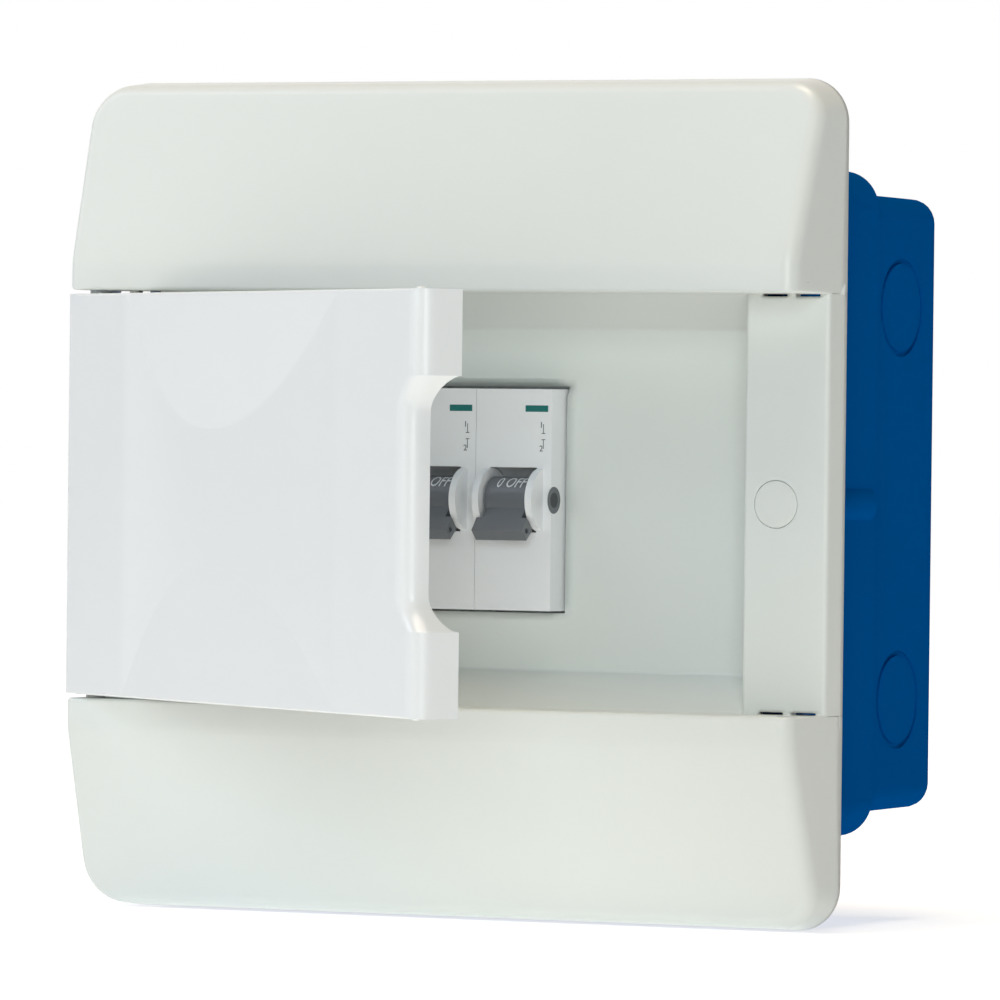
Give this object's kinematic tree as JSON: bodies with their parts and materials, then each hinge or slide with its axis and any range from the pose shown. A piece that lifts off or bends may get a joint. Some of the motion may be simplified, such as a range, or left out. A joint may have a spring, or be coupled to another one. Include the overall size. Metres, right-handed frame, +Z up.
{
  "type": "flush breaker panel box",
  "caption": "Flush household breaker panel: blue wall box, white hooded cover with a dished swing door, and modular breakers on a rail behind a window.",
  "frame": {"origin": "centre of the wall box's back face, at the middle of its fixing holes", "axes": "+Y into the wall, so the front faces -Y; +Z up; +X to the right seen from the front"},
  "size_m": [0.17, 0.1785, 0.17],
  "materials": {
    "box_blue": "satin moulded polypropylene",
    "cover_white": "glossy moulded plastic",
    "door_white": "glossy moulded plastic",
    "cap_white": "glossy moulded plastic",
    "breaker_white": "satin moulded plastic",
    "toggle_grey": "satin moulded plastic",
    "steel": "zinc plated",
    "copper": "bare copper",
    "brass": "bare brass",
    "bimetal": "rolled strip",
    "bobbin": "moulded plastic",
    "carrier_blue": "moulded plastic",
    "carrier_green": "moulded plastic"
  },
  "bodies": {
    "panel": {"wall_box": "box_blue", "front_cover": "cover_white", "cover_screws": "steel", "screw_caps": "cap_white", "din_rail": "steel", "rail_screws": "steel", "breaker_1_left_shell": "breaker_white", "breaker_1_right_shell": "breaker_white", "breaker_1_rivets": "steel", "breaker_1_arc_chute": "steel", "breaker_1_fixed_contact": "copper", "breaker_1_coil_bobbin": "bobbin", "breaker_1_coil_winding": "copper", "breaker_1_bimetal": "bimetal", "breaker_1_arm_pin": "steel", "breaker_1_terminal_cages": "steel", "breaker_1_terminal_screws": "steel", "breaker_2_left_shell": "breaker_white", "breaker_2_right_shell": "breaker_white", "breaker_2_rivets": "steel", "breaker_2_arc_chute": "steel", "breaker_2_fixed_contact": "copper", "breaker_2_coil_bobbin": "bobbin", "breaker_2_coil_winding": "copper", "breaker_2_bimetal": "bimetal", "breaker_2_arm_pin": "steel", "breaker_2_terminal_cages": "steel", "breaker_2_terminal_screws": "steel", "neutral_carrier": "carrier_blue", "neutral_bar": "brass", "neutral_bar_screws": "steel", "earth_carrier": "carrier_green", "earth_bar": "brass", "earth_bar_screws": "steel", "carrier_screws": "steel"},
    "door": {"door": "door_white"},
    "toggle_1": {"breaker_1_toggle": "toggle_grey"},
    "contact_arm_1": {"breaker_1_contact_arm": "copper"},
    "rail_clip_1": {"breaker_1_rail_clip": "toggle_grey"},
    "toggle_2": {"breaker_2_toggle": "toggle_grey"},
    "contact_arm_2": {"breaker_2_contact_arm": "copper"},
    "rail_clip_2": {"breaker_2_rail_clip": "toggle_grey"}
  },
  "joints": [
    {"name": "door_hinge", "type": "hinge", "parent": "panel", "child": "door", "pos_m": [-0.0795, -0.081, 0], "axis": [0, 0, -1], "range_deg": [-35.4, 84.6]},
    {"name": "toggle_1_tip", "type": "hinge", "parent": "panel", "child": "toggle_1", "pos_m": [-0.00875, -0.0633, 0], "axis": [-1, 0, 0], "range_deg": [0, 80]},
    {"name": "contact_arm_1_swing", "type": "hinge", "parent": "panel", "child": "contact_arm_1", "pos_m": [-0.00875, -0.03525, 0.003], "axis": [-1, 0, 0], "range_deg": [0, 16]},
    {"name": "rail_clip_1_slide", "type": "slide", "parent": "panel", "child": "rail_clip_1", "axis": [0, 0, -1], "range_m": [0, 0.0036], "stiffness_N_per_m": 500, "springref_m": -0.002},
    {"name": "toggle_2_tip", "type": "hinge", "parent": "panel", "child": "toggle_2", "pos_m": [0.00875, -0.0633, 0], "axis": [-1, 0, 0], "range_deg": [0, 80]},
    {"name": "contact_arm_2_swing", "type": "hinge", "parent": "panel", "child": "contact_arm_2", "pos_m": [0.00875, -0.03525, 0.003], "axis": [-1, 0, 0], "range_deg": [0, 16]},
    {"name": "rail_clip_2_slide", "type": "slide", "parent": "panel", "child": "rail_clip_2", "axis": [0, 0, -1], "range_m": [0, 0.0036], "stiffness_N_per_m": 500, "springref_m": -0.002}
  ],
  "couplings": [
    {"joint": "contact_arm_1_swing", "follows": "toggle_1_tip", "ratio": 0.2},
    {"joint": "contact_arm_2_swing", "follows": "toggle_2_tip", "ratio": 0.2}
  ]
}
